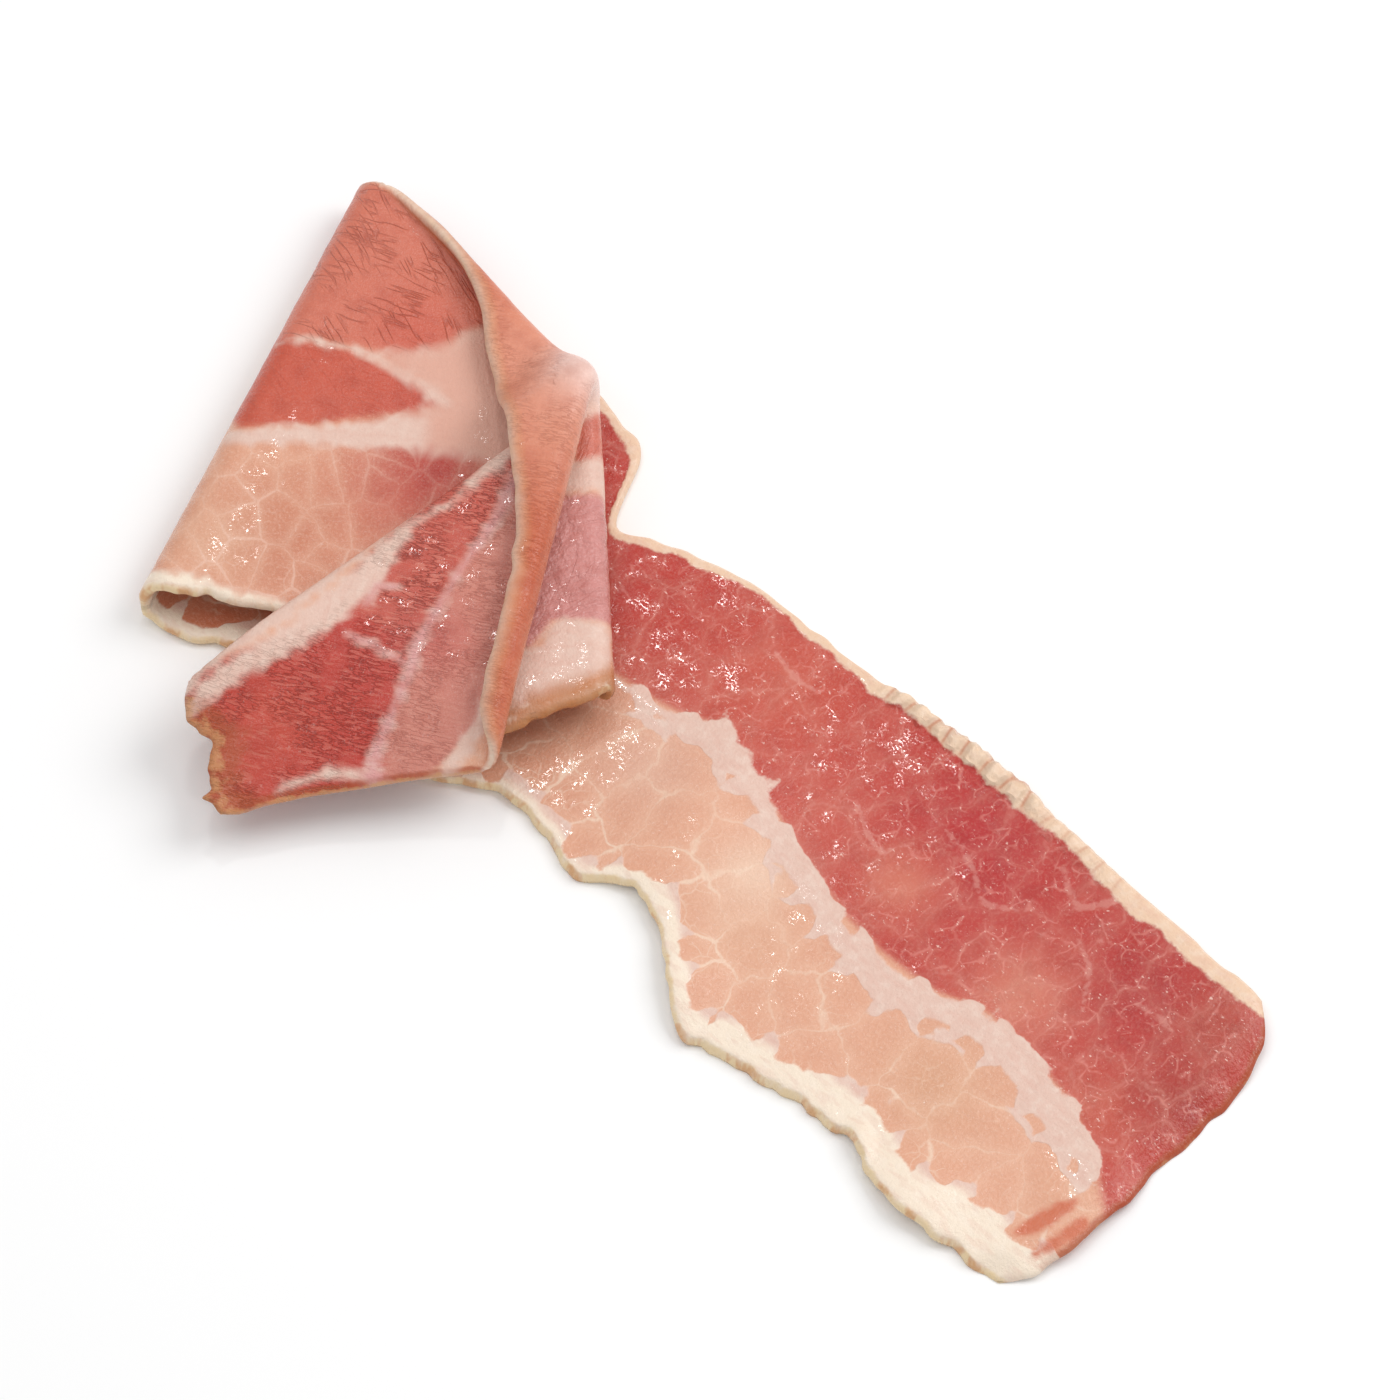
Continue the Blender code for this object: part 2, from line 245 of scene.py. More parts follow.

# Soft changes of tone, a few of them painted shade and sheen: across, down,
# size in millimetres, screen colour and strength
RED_TINTS = [
    (730, 822, 8, (174, 38, 28), 1),
    (773, 841, 9, (186, 50, 36), 1),
    (849, 876, 10, (199, 80, 60), 1),
    (876, 952, 8, (200, 84, 68), 1),
    (964, 971, 12, (181, 22, 24), 1),
    (1059, 1056, 9, (175, 28, 24), 1),
    (986, 1059, 6, (208, 116, 94), 1),
    (918, 994, 5, (207, 108, 86), 1),
    (1025, 1124, 6, (196, 84, 64), 1),
    (1078, 1117, 6, (166, 36, 20), 1),
    (1101, 1078, 5, (178, 64, 48), 1)]
TAIL_TINTS_AND_PAINTED_LIGHT = [
    # Painted shadow of the fold on the pale lean beside it
    (712, 905, 10, (204, 140, 112), 0.75),
    (511, 838, 14, (206, 122, 90), 1),
    (820, 1020, 7, (222, 172, 142), 0.6),
    # Painted sheen: a whitish spot on the pale lean
    (831, 988, 5, (238, 208, 184), 0.6),
    (770, 925, 7, (220, 172, 150), 0.7),
    (936, 1110, 7, (214, 160, 126), 0.7)]
TOP_TINTS = [(624, 660, 6.5, (203, 92, 70), 0.9)]
LOW_TINTS = [
    (612, 765, 9, (204, 116, 94), 0.9),
    (636, 745, 8.5, (182, 52, 38), 1),
    (545, 790, 11, (198, 120, 90), 0.85),
    (505, 790, 6, (226, 180, 150), 0.5)]
NOSE_TINTS = [
    (640, 850, 5, (192, 92, 82), 0.8),
    (505, 925, 5, (196, 70, 50), 0.8),
    (520, 950, 3.4, (184, 82, 46), 1),
    (496, 930, 2.2, (178, 92, 54), 1),
    (545, 900, 6, (204, 84, 62), 0.5)]

# Places of the lower half where the net of fat gives way to red lean:
# across, down and size
PLAIN_LEAN = [(636, 745, 8.5), (612, 762, 6)]

# The muscles of the nose: outline, how far they reach past it, screen
# colour, softness of the edge and strength of the grain
NOSE_LEAN = [
    (MUSCLE_ONE, 3.5, (198, 88, 72), 1, 1),
    (MUSCLE_TWO, 3.5, (188, 56, 42), 1, 0.8),
    (LOBE, 0, (204, 126, 110), 0.5, 0.45)]

# The marks that the material reads as numbers and as colours
MARKS = ("fat", "cells", "wrinkle", "grain", "fleck", "seams", "rind", "dry",
         "bumpy", "soft", "lobes", "beads", "glow", "net", "web", "tan",
         "folded")
TONES = ("tone", "fat_tone")

# The flat sheet's corner and width on its own UV map, in millimetres
MAP_CORNER = np.array([60.0, -160.0])
MAP_WIDE = 300.0

# Noises of the material: waves for a millimetre, detail and roughness
NOISES = {"wobble": (0.5, 3, 0.6), "fine": (2.2, 2, 0.55),
          "patchy": (0.13, 2, 0.55), "wet": (0.4, 2, 0.55),
          "mottle": (0.3, 3, 0.6), "grit": (2, 3, 0.7),
          "cloud": (0.7, 2, 0.55)}

# Nets and stretched noises of the material, for a millimetre
SHIFT_FAR = 2.6
SHIFT_LESS_ON_FOLD = 1.8
CELLS_FINE = 0.155
CELLS_FINER_ON_FOLD = 0.075
SMALL_CELLS_FINE = 0.45
HATCH_FINE = (2.0, 0.45, 0.0)
CREASE_FINE = (0.09, 0.62, 0.0)
CREASE_PATCH_FINE = 0.15
# The spots where glints are painted into the colour
GLINT_SPOTS_FINE = (1.5, 2.6, 0.0)
STREAK_FINE = (0.3, 0.9, 0.0)
BEAD_FINE = (0.31, 0.17, 0.0)
SPARK_FINE = (2.2, 3.2, 0.0)
CREASE_TURNS = ((-1.1, 0.0), (-0.35, 37.0))

# Gloss of the meat, and the lamps: place, size and power
GLOSS = (("Coat Roughness", 0.08), ("Coat IOR", 1.6), ("Specular IOR Level", 0.5))
SOFTBOXES = [
    ("window", (0.22, 0.55, 0.62), 0.5, 3.1),
    ("ceiling", (-0.3, -0.1, 0.9), 0.7, 1.6),
    ("lamp", (-0.42, 0.4, 1.05), 0.08, 0.8)]

# The camera
TURNED_BY = math.radians(45.0)
RAISED_BY = math.radians(60.0)
AWAY = 0.78
TARGET = np.array([0.0013, 0.0136, 0.005])


def curve(points, x):
    """Smooth line through a list of (x, y) points."""
    xs = np.array([a for a, b in points], float)
    ys = np.array([b for a, b in points], float)
    slope = np.gradient(ys, xs)
    x = np.clip(x, xs[0], xs[-1])
    i = np.clip(np.searchsorted(xs, x) - 1, 0, len(xs) - 2)
    h = xs[i + 1] - xs[i]
    t = (x - xs[i]) / h
    rise = ys[i + 1] - ys[i]
    return (ys[i] + rise * (3 * t**2 - 2 * t**3)
            + h * slope[i] * (t**3 - 2 * t**2 + t)
            + h * slope[i + 1] * (t**3 - t**2))


def smooth(t):
    """A smooth rise from 0 to 1."""
    t = np.clip(t, 0.0, 1.0)
    return t * t * (3.0 - 2.0 * t)


def lumps(x, y, size, seed):
    """Soft random lumps of one size, from -1 to 1."""
    table = np.random.RandomState(seed).uniform(-1.0, 1.0, (64, 64))
    u, v = np.asarray(x) / size + 512.0, np.asarray(y) / size + 512.0
    i, j = np.floor(u).astype(int), np.floor(v).astype(int)
    s, t = smooth(u - i), smooth(v - j)
    a = table[i % 64, j % 64] * (1 - s) + table[(i + 1) % 64, j % 64] * s
    b = table[i % 64, (j + 1) % 64] * (1 - s) + table[(i + 1) % 64, (j + 1) % 64] * s
    return a * (1 - t) + b * t


def unturn(points):
    """Places of turned-over points in the flat sheet."""
    p = np.array(points, float) - FOLD_TOP
    u = (2.0 - math.pi) * LOOP - p @ ACROSS
    return FOLD_TOP + u[:, None] * ACROSS + (p @ ALONG)[:, None] * ALONG


BELLY_EDGE = [tuple(p) for p in unturn(BELLY_TURNED)] + BELLY_TAIL
RIM_EDGE = [tuple(p) for p in unturn(RIM_TURNED)] + RIM_TAIL


def nose_end():
    """The nose's cut end: share of the width, and place along."""
    rows = []
    for x, y in unturn(NOSE_TURNED):
        low = float(curve(BELLY_EDGE, x))
        high = float(curve(RIM_EDGE, x))
        rows.append((min(max((y - low) / (high - low), 0.0), 1.0), x))
    rows[0] = (0.0, rows[0][1])
    rows[-1] = (1.0, rows[-1][1])
    return rows


NOSE_END = nose_end()


def beads(x):
    """How strongly the cream rim is pinched into beads along the tail."""
    where = smooth((x - 282.0) / 6.0)
    where = where * (0.35 + 0.65 * smooth((312.0 - x) / 6.0))
    where = where * smooth((330.0 - x) / 10.0)
    wave = np.sin(math.tau * (x + 0.8 * lumps(x, 0.0 * x, 5.0, 5)) / 4.4)
    return where * (0.3 + 0.7 * np.abs(wave) ** 0.6)


def sheet(p, q):
    """Flat point, and its distance in from the nearest cut edge."""
    start = curve(NOSE_END, q) + 0.7 * lumps(q * 50.0, 0.0 * q, 3.0, 11)
    end = curve(TAIL_END, q) + 0.35 * lumps(q * 50.0, 0.0 * q, 2.6, 12)
    middle = LOOP_AT - LOOP_SLANT * (q - 0.5)
    x = np.where(p < 0.5, start + (middle - start) * p * 2.0,
                 middle + (end - middle) * (p * 2.0 - 1.0))
    low = curve(BELLY_EDGE, x) + 0.45 * lumps(x, 0.0 * x, 3.1, 13)
    low = low + 0.3 * lumps(x, 0.0 * x, 1.3, 14)
    high = curve(RIM_EDGE, x) + 0.22 * lumps(x, 0.0 * x, 2.4, 15)
    high = high + 0.75 * beads(x)
    wide = high - low
    inward = np.minimum(np.minimum(q, 1.0 - q) * wide, np.minimum(x - start, end - x))
    return np.stack([x, low + q * wide], -1), inward, (1.0 - q) * wide, q * wide


def pleat(p):
    """Sharp pleat: folded place and layer of a turned-over point."""
    v = p - TIP
    r = np.hypot(v[..., 0], v[..., 1])
    a = np.degrees(np.arctan2(v[..., 1], v[..., 0]))
    b = np.where((a > BELLY) & (a <= LEFT), 2.0 * BELLY - a, a)
    b = np.where((a > LEFT) & (a <= RIGHT), LEFT_TURNED + a - LEFT, b)
    b = np.radians(np.where((a > RIGHT) & (a <= BACK), RIGHT_TURNED - a + RIGHT, b))
    place = TIP + r[..., None] * np.stack([np.cos(b), np.sin(b)], -1)

    def beyond(angle):
        return r * np.sin(np.radians(np.clip(a - angle, -90.0, 90.0)))

    near = np.exp(-(r / 8.0) ** 2)
    past = r * np.sin(np.radians(np.clip(a - 2.0 * RIGHT + LEFT, 0.0, 90.0)))
    floor = 0.9 * near
    under = 1.0 + 0.6 * near
    nose = 2.0 + 0.3 * near
    top = 3.0 - TOP_DROP * smooth(past / TOP_DROP_OVER)
    layer = floor + (under - floor) * smooth(0.5 + beyond(BELLY) / 0.8)
    layer = layer + (nose - under) * smooth(0.5 + beyond(LEFT) / 0.8)
    layer = layer + (top - nose) * smooth(0.5 + beyond(RIGHT) / 0.8)
    layer = layer + (floor - top) * smooth(0.5 + beyond(BACK) / 0.8)
    return place, layer


def discs():
    """Offsets and weights that round the creases."""
    spots = [(0.0, 0.0, 1.0)]
    for ring in range(1, 10):
        r = ring * 0.3
        for k in range(ring * 6):
            a = math.tau * (k + 0.5 * (ring % 2)) / (ring * 6)
            w = math.exp(-0.5 * r * r)
            spots.append((r * math.cos(a), r * math.sin(a), w))
    total = sum(s[2] for s in spots)
    return [(x * SOFT, y * SOFT, w / total) for x, y, w in spots]


def soft_pleat(p):
    """The pleat with its creases rounded."""
    place, layer = pleat(p)
    v = p - TIP
    near = np.zeros(len(p), bool)
    for angle in (BELLY, LEFT, RIGHT, BACK):
        d = np.array([math.cos(math.radians(angle)), math.sin(math.radians(angle))])
        aside = np.abs(v[:, 0] * d[1] - v[:, 1] * d[0])
        near |= (aside < 4.0 * SOFT) & (v @ d > -4.0 * SOFT)
    place[near] = 0.0
    layer[near] = 0.0
    for dx, dy, weight in discs():
        a, b = pleat(p[near] + np.array([dx, dy]))
        place[near] += weight * a
        layer[near] += weight * b
    return place, layer


def base(p):
    """Height of the turned-over layer above the table layer."""
    u = (p - FOLD_TOP) @ ACROSS
    rise = 2.0 * LOOP - LOW_GAP
    lift = rise * (1.0 - smooth((u - LOOP) / 30.0))
    past = (p[..., 0] - 210.0) * 0.5 - (p[..., 1] + 72.5) * 0.866
    return LOW_GAP + lift - 5.2 * smooth((past - 3.0) / 27.0)


def ripple(p):
    """Gentle lifts of the tail, level with the table in between."""
    x, y = p[..., 0], p[..., 1]
    free = smooth((x - 268.0) / 16.0)
    a = np.sin((x + 0.5 * y) / 12.5) * np.sin((y + 20.0) / 17.0 + x / 90.0)
    rim = smooth((y + 30.0) / 16.0) * smooth((x - 280.0) / 30.0)
    belly = smooth((-54.0 - y) / 12.0)
    lift = 2.1 * np.maximum(a - 0.25, 0.0) ** 1.5 + 0.9 * rim
    lift = lift + 1.3 * belly * np.maximum(np.sin(x / 6.6 + 1.0), 0.0) ** 2
    return lift * free


def shape(p):
    """Middle surface of the rasher in plan millimetres."""
    u = (p - FOLD_TOP) @ ACROSS
    v = (p - FOLD_TOP) @ ALONG
    out = np.zeros(p.shape[:-1] + (3,))
    out[..., :2] = p
    out[..., 2] = ripple(p)

    turn = np.clip((LOOP - u) / LOOP, 0.0, math.pi)
    roll = (u < LOOP) & (u >= LOOP - math.pi * LOOP)
    w = LOOP - LOOP * np.sin(turn)
    q = FOLD_TOP + w[..., None] * ACROSS + v[..., None] * ALONG
    out[roll, :2] = q[roll]
    out[roll, 2] = (LOOP - LOOP * np.cos(turn))[roll]

    over = u < LOOP - math.pi * LOOP
    w = (2.0 - math.pi) * LOOP - u
    q = (FOLD_TOP + w[..., None] * ACROSS + v[..., None] * ALONG)[over]
    place, layer = soft_pleat(q)
    out[over, :2] = place
    out[over, 2] = base(place) + GAP * layer
    out[..., 2] += THICK / 2.0
    return out


def seen(across, down, up):
    """Plan place of a point that the photo shows at some height."""
    right = across / PIXELS_ACROSS
    near = (down + PIXELS_UP * up) / PIXELS_NEAR
    return np.array([right + near, right - near]) / math.sqrt(2.0)


def on_sheet(face, rows):
    """Flat sheet places of points seen on one face of the fold."""
    if face == "tail":
        return np.array([seen(row[0], row[1], THICK) for row in rows])
    spots = []
    for row in rows:
        up = THICK
        for _ in range(6):
            p = seen(row[0], row[1], up)
            v = p - TIP
            r = math.hypot(*v)
            b = math.degrees(math.atan2(v[1], v[0]))
            up = float(base(p)) + LAYERS[face] * GAP + THICK
        a = b
        if face == "under":
            a = min(max(2.0 * BELLY - b, BELLY), LEFT)
        if face == "nose":
            a = min(max(b - LEFT_TURNED + LEFT, LEFT), RIGHT)
        a = math.radians(a)
        turned = TIP + r * np.array([math.cos(a), math.sin(a)])
        spots.append(unturn([turned])[0])
    return np.array(spots)


def streak(points, face, rows):
    """Distance to a streak of fat, less than nothing inside it."""
    line = on_sheet(face, rows)
    wide = np.array([row[2] for row in rows], float)
    best = np.full(len(points), FAR)
    for a, b, wa, wb in zip(line[:-1], line[1:], wide[:-1], wide[1:]):
        t, gap = beside(points, a, b)
        best = np.minimum(best, gap - wa - (wb - wa) * t)
    return best


def patch(points, face, rows):
    """Distance to a patch of the sheet, less than nothing inside it."""
    ring = on_sheet(face, rows)
    best = np.full(len(points), FAR)
    inside = np.zeros(len(points), bool)
    x, y = points[:, 0], points[:, 1]
    for a, b in zip(ring, np.roll(ring, -1, axis=0)):
        d = b - a
        best = np.minimum(best, beside(points, a, b)[1])
        crosses = (a[1] > y) != (b[1] > y)
        if abs(d[1]) > 1e-9:
            inside ^= crosses & (x < a[0] + d[0] * (y - a[1]) / d[1])
    return np.where(inside, -best, best)


def beside(points, a, b):
    """Share along the line from a to b, and distance from it."""
    d = b - a
    t = np.clip(((points - a) @ d) / max(d @ d, 1e-9), 0.0, 1.0)
    gap = points - a - t[:, None] * d
    return t, np.hypot(gap[:, 0], gap[:, 1])


def rgb(color):
    """Linear colour of a screen colour."""
    c = np.array(color) / 255.0
    return np.where(c <= 0.04045, c / 12.92, ((c + 0.055) / 1.055) ** 2.4)


class Meat:
    """What the rasher is made of at each point of the flat sheet."""

    def __init__(self, points, inward, from_rim, from_belly):
        count = len(points)
        self.points = points
        self.x = points[:, 0]
        self.inward = inward
        self.from_rim = from_rim
        self.from_belly = from_belly
        self.tone = np.tile(rgb(PEACH), (count, 1))
        self.fat_tone = np.tile(rgb(FAT), (count, 1))
        self.cells = np.ones(count)
        self.wrinkle = np.zeros(count)
        self.grain = np.zeros(count)
        # How many painted glints each place gets
        self.fleck = np.zeros(count)
        self.over = (points - FOLD_TOP) @ ACROSS < LOOP - 4.0
        self.soft = np.where(self.over, 0.35, 0.0)
        self.folded = np.where(self.over, 1.0, 0.0)
        from_tip = unturn(points) - TIP
        self.angle = np.degrees(np.arctan2(from_tip[:, 1], from_tip[:, 0]))
        self.reach = np.hypot(from_tip[:, 0], from_tip[:, 1])
        self.strip = self.over & (self.angle > BELLY - 3.0) & (self.angle < LEFT)
        self.tail_lean()
        self.folded_lean()
        self.pleat_back()
        self.side_strip()
        self.place_fat()
        self.color_fat()
        self.finish_edges()

    def tail_lean(self):
        """The lean of the tail, red above the band and pale below it."""
        self.red = patch(self.points, "tail", RED_TAIL)
        # The red lean gets the most painted glints
        self.lay(self.red, RED, 0.7, cells=0.3, fleck=1.0)
        in_red = smooth(0.5 - self.red / 1.4)
        self.tint("tail", RED_TINTS, in_red)
        # These tints hold a painted shadow of the fold and a painted sheen
        self.tint("tail", TAIL_TINTS_AND_PAINTED_LIGHT)
        self.web = 0.75 * in_red

    def folded_lean(self):
        """The lean of the turned-over half and of the nose."""
        self.lay(patch(self.points, "turned", TOP_LEAN), TOP_RED, 1.2,
                 cells=0.0, wrinkle=1.0)
        self.tint("turned", TOP_TINTS)
        self.lay(patch(self.points, "turned", WEDGE), WEDGE_RED, 0.7,
                 cells=0.05, wrinkle=0.25)
        self.tint("turned", LOW_TINTS)
        plain = np.zeros(len(self.points))
        for across, down, size in PLAIN_LEAN:
            share = self.spot_share("turned", across, down, size)
            plain = np.maximum(plain, share)
        self.cells *= 1.0 - 0.75 * plain * self.over
        for ring, past, color, edge, grain in NOSE_LEAN:
            self.lay(patch(self.points, "nose", ring) - past, color, edge,
                     cells=0.0, grain=grain)
        self.tint("nose", NOSE_TINTS)

    def pleat_back(self):
        """The smooth salmon back of the pleat, and a painted highlight on its raised tip.
        """
        self.back = self.over & (self.angle > RIGHT - 2.0) & (self.angle < BACK + 4.0)
        salmon = smooth((self.angle - RIGHT + 3.0) / 6.0) * self.over
        salmon = salmon * smooth((BACK + 4.0 - self.angle) / 6.0)
        low = smooth((self.reach - 9.0) / 21.0)
        rim = smooth((2.4 - self.from_rim) / 1.6)
        self.mix(salmon, SALMON)
        self.mix(salmon * low, SALMON_LOW)
        self.mix(salmon * rim * 0.6, SALMON_RIM)
        self.soft = np.maximum(self.soft, salmon)
        self.cells *= 1.0 - salmon
        self.grain = np.maximum(self.grain, 0.35 * salmon)
        self.wrinkle *= 1.0 - salmon
        # Painted highlight: the pleat's tip lightened towards white
        self.mix(np.exp(-(self.reach / 6.0) ** 2) * self.over, TIP_HIGHLIGHT)
        self.salmon = salmon

    def side_strip(self):
        """The strip of the layer below that shows past the pleat."""
        self.lay(patch(self.points, "under", G_RED), UNDER_RED, 0.5, cells=0.0, wrinkle=0.3)
        near = smooth((11.0 - self.from_belly) / 6.0) * (1.0 - self.salmon)
        self.net = self.cells * (0.5 + 0.75 * near)
        self.net += self.cells * self.over * (self.angle < BELLY) * 0.2
        mauve = patch(self.points, "under", G_MAUVE)
        self.lay(np.where(self.strip, mauve, FAR), MAUVE, 0.5, cells=0.0, wrinkle=0.3)
        self.bumpy = smooth(0.5 - mauve) * self.strip

    def nearest(self, face, streaks, patches=()):
        """Distance to the nearest of some streaks and patches of fat."""
        gaps = [streak(self.points, face, rows) for rows in streaks]
        gaps += [patch(self.points, face, ring) for ring in patches]
        return np.min(gaps, axis=0)

    def place_fat(self):
        """Bands, seams, the belly border and the rim."""
        self.fork = patch(self.points, "turned", FAT_Y)
        by_fork = smooth(0.5 - (self.fork - 1.0) / 4.0)
        self.soft += by_fork * (1.0 - self.soft)
        tail = self.nearest("tail", (BAND, SPUR_ONE, SPUR_TWO, SPUR_THREE, SPUR_FOUR))
        turned = self.nearest("turned", (SEAM_TOP, BAND_LOW))
        nose = self.nearest("nose", (FOLD_FAT, SEAM_NOSE, SEAM_BRANCH,
                                     SEAM_SMALL, NOSE_RIM), (CREASE_FAT,))
        under = self.nearest("under", (), (G_WHITE, G_FAT))
        fat = np.min([tail, turned, nose, under, self.fork], axis=0)
        fat = np.where(self.back & (self.reach > 7.0), FAR, fat)
        self.seams = self.nearest("tail", (SEAM_RIM, SEAM_A, SEAM_B, SEAM_C,
                                           SEAM_D, SEAM_E))

        x = self.x
        belly = np.interp(x, BELLY_FAT_AT, BELLY_FAT_WIDE)
        belly = belly * (1.0 + 0.25 * lumps(x, 0.0 * x, 5.0, 31))
        rim = np.interp(x, RIM_FAT_AT, RIM_FAT_WIDE)
        rim = rim * (1.0 + 0.2 * lumps(x, 0.0 * x, 4.0, 32))
        self.belly = self.from_belly - belly
        self.rim = self.from_rim - rim
        rim = np.where(self.back, self.from_rim - 0.5, self.rim)
        self.fat = np.min([fat, self.belly, rim], axis=0)

    def color_fat(self):
        """Pinker seams, a cream border and a tan rim."""
        seam = self.nearest("nose", (SEAM_NOSE, SEAM_BRANCH, SEAM_SMALL))
        border = np.minimum(self.belly, self.rim)
        for share, color in (
                (smooth(0.5 - seam / 1.6), FAT_SEAM),
                (smooth(0.6 - border / 1.5), FAT_CREAM),
                (smooth(0.5 - (self.fork + 0.5) / 3.0), FAT_FORK),
                (smooth(0.5 - self.rim) * (self.x > 200.0), FAT_RIM)):
            self.fat_tone += share[:, None] * (rgb(color) - self.fat_tone)

    def finish_edges(self):
        """Rind, dry ends, beads, and how lobed the fat's borders are."""
        x = self.x
        inward = self.inward
        from_rim = self.from_rim
        from_belly = self.from_belly
        rind = smooth((1.3 - from_belly) / 1.3)
        rind *= 1.0 - 0.4 * (x < 200.0) * (1.0 - self.strip)
        self.rind = np.maximum(rind, 0.45 * smooth((0.8 - from_rim) / 0.8))
        self.tan = self.strip * smooth((4.6 - from_belly) / 3.0)
        tail = smooth((1.5 - (inward + 0.6 * (from_rim < 2.0))) / 1.5)
        tail = tail * (x > 330.0) * (from_belly > 3.5) * (from_rim > 0.8)
        nose = smooth((4.2 - inward) / 4.2) * (x < 92.0) * 1.2
        self.dry = np.maximum(tail, nose)
        in_red = smooth(0.5 - (self.red + 0.4) / 1.2)
        self.lobes = np.where(self.over, 0.2, 1.0 - 0.78 * in_red)
        self.lobes *= 1.0 - 0.9 * smooth((5.0 - from_rim) / 2.0)
        self.beads = np.clip(beads(x) * 1.6, 0.0, 1.0)
        self.beads *= smooth(3.4 - from_rim)
        glow = self.nearest("tail", (END_GLOW, END_GLOW_LOW))
        self.glow = smooth(0.5 - (glow - 0.4) / 3.4)

    def mix(self, share, color):
        """Lay a colour over the lean."""
        self.tone += share[:, None] * (rgb(color) - self.tone)

    def lay(self, gap, color, edge, **marks):
        """Colour a patch and set how its meat is marked."""
        share = smooth(0.5 - gap / (2.0 * edge))
        self.mix(share, color)
        for name, value in marks.items():
            old = getattr(self, name)
            setattr(self, name, old + share * (value - old))

    def spot_share(self, face, across, down, size):
        """A round spot that fades out from a place in the photo."""
        middle = on_sheet(face, [(across, down)])[0]
        gap = np.hypot(*(self.points - middle).T)
        return np.exp(-(gap / size) ** 2)

    def tint(self, face, rows, within=1.0):
        """Soft changes of tone on one face."""
        for across, down, size, color, strength in rows:
            share = self.spot_share(face, across, down, size)
            self.mix(share * strength * within, color)


def fine_rows():
    """Where the sheet's grid points lie along it and across it."""
    rows = ROWS_FOLDED + ROWS_TAIL
    bm = bmesh.new()
    bmesh.ops.create_grid(bm, x_segments=rows, y_segments=ROWS_ACROSS, size=0.5)
    i = np.array([round((v.co.x + 0.5) * rows) for v in bm.verts])
    j = np.array([round((v.co.y + 0.5) * ROWS_ACROSS) for v in bm.verts])
    p = np.where(i < ROWS_FOLDED, i / ROWS_FOLDED / 2.0,
                 0.5 + (i - ROWS_FOLDED) / ROWS_TAIL / 2.0)
    t = j / ROWS_ACROSS
    q = t - CROWDING * np.sin(math.tau * t) / math.tau
    p = np.where(i == 0, 0.0, np.where(i == rows, 1.0, p))
    p = np.where(i == 1, LAST_ROW * 0.5, p)
    p = np.where(i == rows - 1, 1.0 - LAST_ROW * 0.4, p)
    return bm, p, q


def normals(flat):
    """Directions that stand square on the middle surface."""
    along = np.array([NORMAL_STEP, 0.0])
    across = np.array([0.0, NORMAL_STEP])
    dx = shape(flat + along) - shape(flat - along)
    dy = shape(flat + across) - shape(flat - across)
    n = np.cross(dx, dy)
    return n / np.linalg.norm(n, axis=-1, keepdims=True)


def skins(flat, meat):
    """Upper and lower skin of the rasher, in metres."""
    x, y = flat[:, 0], flat[:, 1]
    inward = meat.inward
    mid = shape(flat)
    mid[:, :2] -= CENTRE

    # The cut edge is rounded, and the cream rim swells into beads
    edge = np.clip(inward / EDGE_ROUND, 0.0, 1.0)
    thick = THICK * (0.34 + 0.66 * np.sqrt(1.0 - (1.0 - edge) ** 2))
    thin = smooth((x - 345.0) / 4.0) * smooth((4.0 - inward) / 4.0)
    thin = np.maximum(thin, 0.8 * smooth((96.0 - x) / 8.0) * smooth((3.0 - inward) / 3.0))
    thick = thick * (1.0 - 0.62 * thin)
    flat_down = 0.5 * (THICK - thick) * smooth((x - 260.0) / 10.0)
    mid[:, 2] -= flat_down * smooth(1.0 - (mid[:, 2] - THICK / 2.0))
    curl = np.exp(-((x - 326.0) / 2.6) ** 2)
    curl = curl * smooth((3.5 - meat.from_belly) / 3)
    mid[:, 2] += 1.1 * curl
    mid[:, 2] += 0.7 * smooth((86.0 - x) / 8.0) * lumps(x, y, 2.4, 24)
    swell = beads(x) * smooth((2.6 - meat.from_rim) / 1.6)
    thick = thick * (1.0 + 0.55 * swell)

    # Relief: soft lean, slightly proud fat, pinched seams
    lean = smooth(0.5 + meat.fat / 0.8)
    relief = 0.04 * lumps(x, y, 3.2, 21) + 0.035 * lumps(x, y, 1.5, 22)
    relief = relief * (0.4 + 0.6 * lean) + 0.07 * (1.0 - lean)
    relief = relief + 0.12 * meat.bumpy * lumps(x, y, 1.5, 23)
    relief = relief * smooth(inward / 1.5)
    n = normals(flat)
    sides = []
    for side in (1.0, -1.0):
        s = mid + side * (0.5 * thick + relief)[:, None] * n
        s[:, 2] = np.maximum(s[:, 2], 0.0)
        sides.append(s * SCALE * MM)
    return sides


def mesh_of(name, bm):
    """A finished mesh from one that is being built."""
    mesh = bpy.data.meshes.new(name)
    bm.to_mesh(mesh)
    bm.free()
    return mesh


def placed(name, data):
    """A new object in the scene."""
    made = bpy.data.objects.new(name, data)
    bpy.context.scene.collection.objects.link(made)
    return made


def closed_sheet(grid, sides):
    """Both skins from one grid, joined around the cut edge."""
    mesh = mesh_of("sheet", grid)
    faces = len(mesh.polygons)
    bm = bmesh.new()
    for side in sides:
        mesh.vertices.foreach_set("co", side.astype(np.float32).ravel())
        bm.from_mesh(mesh)
    bpy.data.meshes.remove(mesh)
    bm.faces.ensure_lookup_table()
    bmesh.ops.reverse_faces(bm, faces=bm.faces[faces:])
    rim = [e for e in bm.edges if e.is_boundary]
    bmesh.ops.bridge_loops(bm, edges=rim)
    for f in bm.faces:
        f.smooth = True
    return mesh_of("rasher", bm)


def both(values):
    """The same values for the upper and the lower skin."""
    return np.concatenate([values, values]).astype(np.float32)


